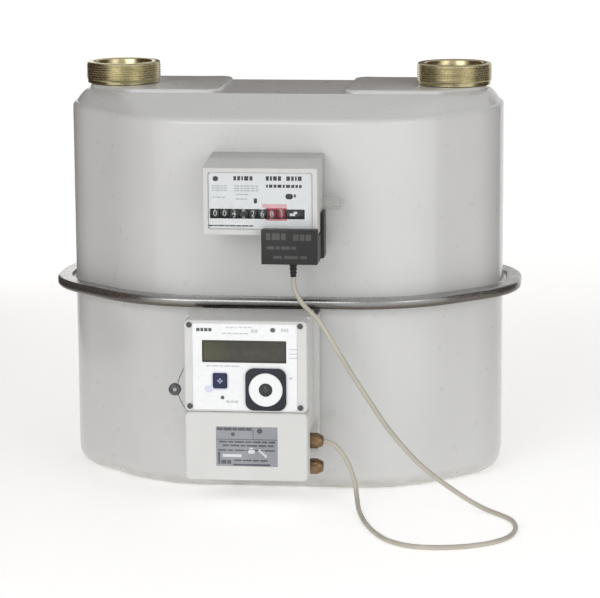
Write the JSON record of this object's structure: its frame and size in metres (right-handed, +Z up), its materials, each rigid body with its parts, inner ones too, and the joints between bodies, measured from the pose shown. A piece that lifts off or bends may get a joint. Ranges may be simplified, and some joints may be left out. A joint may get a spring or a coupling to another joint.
{
  "type": "gas meter",
  "caption": "Two-pipe diaphragm gas meter in a banded sheet-steel casing, with a roller index, a pulse transmitter on a cable and an electronic volume converter.",
  "frame": {"origin": "centre of the casing's flat underside", "axes": "+X from the inlet to the outlet connection, +Y from the front to the back, +Z up"},
  "size_m": [0.4777, 0.4706, 0.412],
  "materials": {
    "casing_paint": "satin light grey enamel",
    "band_metal": "grey zinc-coated steel",
    "gasket_rubber": "matte",
    "brass": "turned, slightly dull",
    "steel": "plain",
    "plate_aluminium": "pressed sheet",
    "unit_plastic": "moulded",
    "valve_plastic": "moulded",
    "diaphragm_cloth": "rubber-coated cloth",
    "index_plastic": "fine grain",
    "dial_white": "printed",
    "clear_pane": "clear",
    "wheel_black": "moulded",
    "wheel_red": "moulded",
    "transmitter_black": "fine grain",
    "cable_sheath": "smooth beige-grey",
    "converter_plastic": "fine grain",
    "foil_white": "printed foil",
    "display_pane": "dark clear",
    "button_navy": "embossed",
    "board_green": "lacquered board",
    "lead": "crimped lead"
  },
  "bodies": {
    "casing": {"upper_casing": "casing_paint", "lower_casing": "casing_paint", "clamp_band": "band_metal", "casing_gasket": "gasket_rubber", "inlet_connector": "brass", "outlet_connector": "brass", "outlet_duct": "unit_plastic", "measuring_housing": "unit_plastic", "front_chamber_cover": "unit_plastic", "rear_chamber_cover": "unit_plastic", "front_diaphragm": "diaphragm_cloth", "rear_diaphragm": "diaphragm_cloth", "valve_table": "valve_plastic", "drive_gland": "brass", "index_base": "index_plastic", "index_cover": "index_plastic", "index_window": "clear_pane", "dial_plate": "dial_white", "wheel_shaft": "steel", "pulse_transmitter": "transmitter_black", "transmitter_strain_relief": "transmitter_black", "signal_cable": "cable_sheath", "mounting_bracket": "steel", "converter_base": "converter_plastic", "converter_cover": "converter_plastic", "terminal_cover": "converter_plastic", "keypad_foil": "foil_white", "display_window": "display_pane", "optical_port": "button_navy", "cover_screw_1": "steel", "cover_screw_2": "steel", "cover_screw_3": "steel", "cover_screw_4": "steel", "cable_gland": "brass", "spare_gland": "brass", "lead_seal": "lead", "circuit_board": "board_green", "battery": "valve_plastic", "terminal_block": "board_green"},
    "crank": {"crank_wheel": "steel"},
    "front_link": {"front_crank_link": "steel"},
    "rear_link": {"rear_crank_link": "steel"},
    "index_drive": {"index_drive_shaft": "brass"},
    "index_layshaft_body": {"index_layshaft": "brass"},
    "wheel_1": {"number_wheel_1": "wheel_black"},
    "wheel_2": {"number_wheel_2": "wheel_black"},
    "wheel_3": {"number_wheel_3": "wheel_black"},
    "wheel_4": {"number_wheel_4": "wheel_black"},
    "wheel_5": {"number_wheel_5": "wheel_black"},
    "wheel_6": {"number_wheel_6": "wheel_black"},
    "wheel_7": {"number_wheel_7": "wheel_red"},
    "wheel_8": {"number_wheel_8": "wheel_red"},
    "pulse_drum": {"pulse_wheel": "wheel_black"},
    "front_plate": {"front_diaphragm_plate": "plate_aluminium"},
    "rear_plate": {"rear_diaphragm_plate": "plate_aluminium"},
    "front_flag": {"front_flag_rod": "steel"},
    "rear_flag": {"rear_flag_rod": "steel"},
    "front_valve": {"front_slide_valve": "valve_plastic"},
    "rear_valve": {"rear_slide_valve": "valve_plastic"},
    "button": {"push_button": "button_navy"}
  },
  "joints": [
    {"name": "crank_spin", "type": "hinge", "parent": "casing", "child": "crank", "pos_m": [0, 0, 0.3], "axis": [0, 0, 1], "continuous": true},
    {"name": "front_link_turn", "type": "hinge", "parent": "crank", "child": "front_link", "pos_m": [0, 0.0125, 0.3265], "axis": [0, 0, 1], "continuous": true},
    {"name": "rear_link_turn", "type": "hinge", "parent": "crank", "child": "rear_link", "pos_m": [0, 0.0125, 0.3305], "axis": [0, 0, 1], "continuous": true},
    {"name": "index_drive_spin", "type": "hinge", "parent": "casing", "child": "index_drive", "pos_m": [0, -0.1, 0.302], "axis": [0, 1, 0], "continuous": true},
    {"name": "layshaft_spin", "type": "hinge", "parent": "casing", "child": "index_layshaft_body", "pos_m": [0.02, -0.1593, 0.287], "axis": [1, 0, 0], "continuous": true},
    {"name": "pulse_drum_spin", "type": "hinge", "parent": "casing", "child": "pulse_drum", "pos_m": [0.03, -0.1793, 0.287], "axis": [1, 0, 0], "continuous": true},
    {"name": "wheel_8_spin", "type": "hinge", "parent": "casing", "child": "wheel_8", "pos_m": [0.01405, -0.1793, 0.287], "axis": [1, 0, 0], "continuous": true},
    {"name": "wheel_7_spin", "type": "hinge", "parent": "casing", "child": "wheel_7", "pos_m": [0.00505, -0.1793, 0.287], "axis": [1, 0, 0], "continuous": true},
    {"name": "wheel_6_spin", "type": "hinge", "parent": "casing", "child": "wheel_6", "pos_m": [-0.00395, -0.1793, 0.287], "axis": [1, 0, 0], "continuous": true},
    {"name": "wheel_5_spin", "type": "hinge", "parent": "casing", "child": "wheel_5", "pos_m": [-0.01295, -0.1793, 0.287], "axis": [1, 0, 0], "continuous": true},
    {"name": "wheel_4_spin", "type": "hinge", "parent": "casing", "child": "wheel_4", "pos_m": [-0.02195, -0.1793, 0.287], "axis": [1, 0, 0], "continuous": true},
    {"name": "wheel_3_spin", "type": "hinge", "parent": "casing", "child": "wheel_3", "pos_m": [-0.03095, -0.1793, 0.287], "axis": [1, 0, 0], "continuous": true},
    {"name": "wheel_2_spin", "type": "hinge", "parent": "casing", "child": "wheel_2", "pos_m": [-0.03995, -0.1793, 0.287], "axis": [1, 0, 0], "continuous": true},
    {"name": "wheel_1_spin", "type": "hinge", "parent": "casing", "child": "wheel_1", "pos_m": [-0.04895, -0.1793, 0.287], "axis": [1, 0, 0], "continuous": true},
    {"name": "front_plate_slide", "type": "slide", "parent": "casing", "child": "front_plate", "axis": [0, 1, 0], "range_m": [-0.0273, 0.0273], "deforming": ["front_diaphragm"]},
    {"name": "front_flag_turn", "type": "hinge", "parent": "casing", "child": "front_flag", "pos_m": [-0.105, -0.038, 0.15], "axis": [0, 0, 1], "range_deg": [-15, 15]},
    {"name": "rear_plate_slide", "type": "slide", "parent": "casing", "child": "rear_plate", "axis": [0, 1, 0], "range_m": [-0.0273, 0.0273], "deforming": ["rear_diaphragm"]},
    {"name": "rear_flag_turn", "type": "hinge", "parent": "casing", "child": "rear_flag", "pos_m": [0.105, 0.038, 0.15], "axis": [0, 0, 1], "range_deg": [-15, 15]},
    {"name": "front_valve_slide", "type": "slide", "parent": "casing", "child": "front_valve", "axis": [1, 0, 0], "range_m": [-0.01, 0.01]},
    {"name": "rear_valve_slide", "type": "slide", "parent": "casing", "child": "rear_valve", "axis": [1, 0, 0], "range_m": [-0.01, 0.01]},
    {"name": "button_press", "type": "slide", "parent": "casing", "child": "button", "axis": [0, 1, 0], "range_m": [0, 0.0008], "stiffness_N_per_m": 400, "springref_m": -0.001}
  ],
  "couplings": [
    {"joint": "front_link_turn", "follows": "crank_spin", "ratio": -1},
    {"joint": "rear_link_turn", "follows": "crank_spin", "ratio": -1},
    {"joint": "index_drive_spin", "follows": "crank_spin", "ratio": -1},
    {"joint": "layshaft_spin", "follows": "crank_spin", "ratio": 0.1},
    {"joint": "pulse_drum_spin", "follows": "crank_spin", "ratio": -0.1},
    {"joint": "wheel_8_spin", "follows": "crank_spin", "ratio": -0.1},
    {"joint": "wheel_7_spin", "follows": "crank_spin", "ratio": -0.01},
    {"joint": "wheel_6_spin", "follows": "crank_spin", "ratio": -0.001},
    {"joint": "wheel_5_spin", "follows": "crank_spin", "ratio": -0.0001},
    {"joint": "wheel_4_spin", "follows": "crank_spin", "ratio": -0.00001},
    {"joint": "wheel_3_spin", "follows": "crank_spin", "ratio": -0.000001},
    {"joint": "wheel_2_spin", "follows": "crank_spin", "ratio": -0.0000001},
    {"joint": "wheel_1_spin", "follows": "crank_spin", "ratio": -0.00000001},
    {"joint": "front_flag_turn", "follows": "front_plate_slide", "rad_per_m": 9.5238},
    {"joint": "rear_flag_turn", "follows": "rear_plate_slide", "rad_per_m": -9.5238}
  ]
}
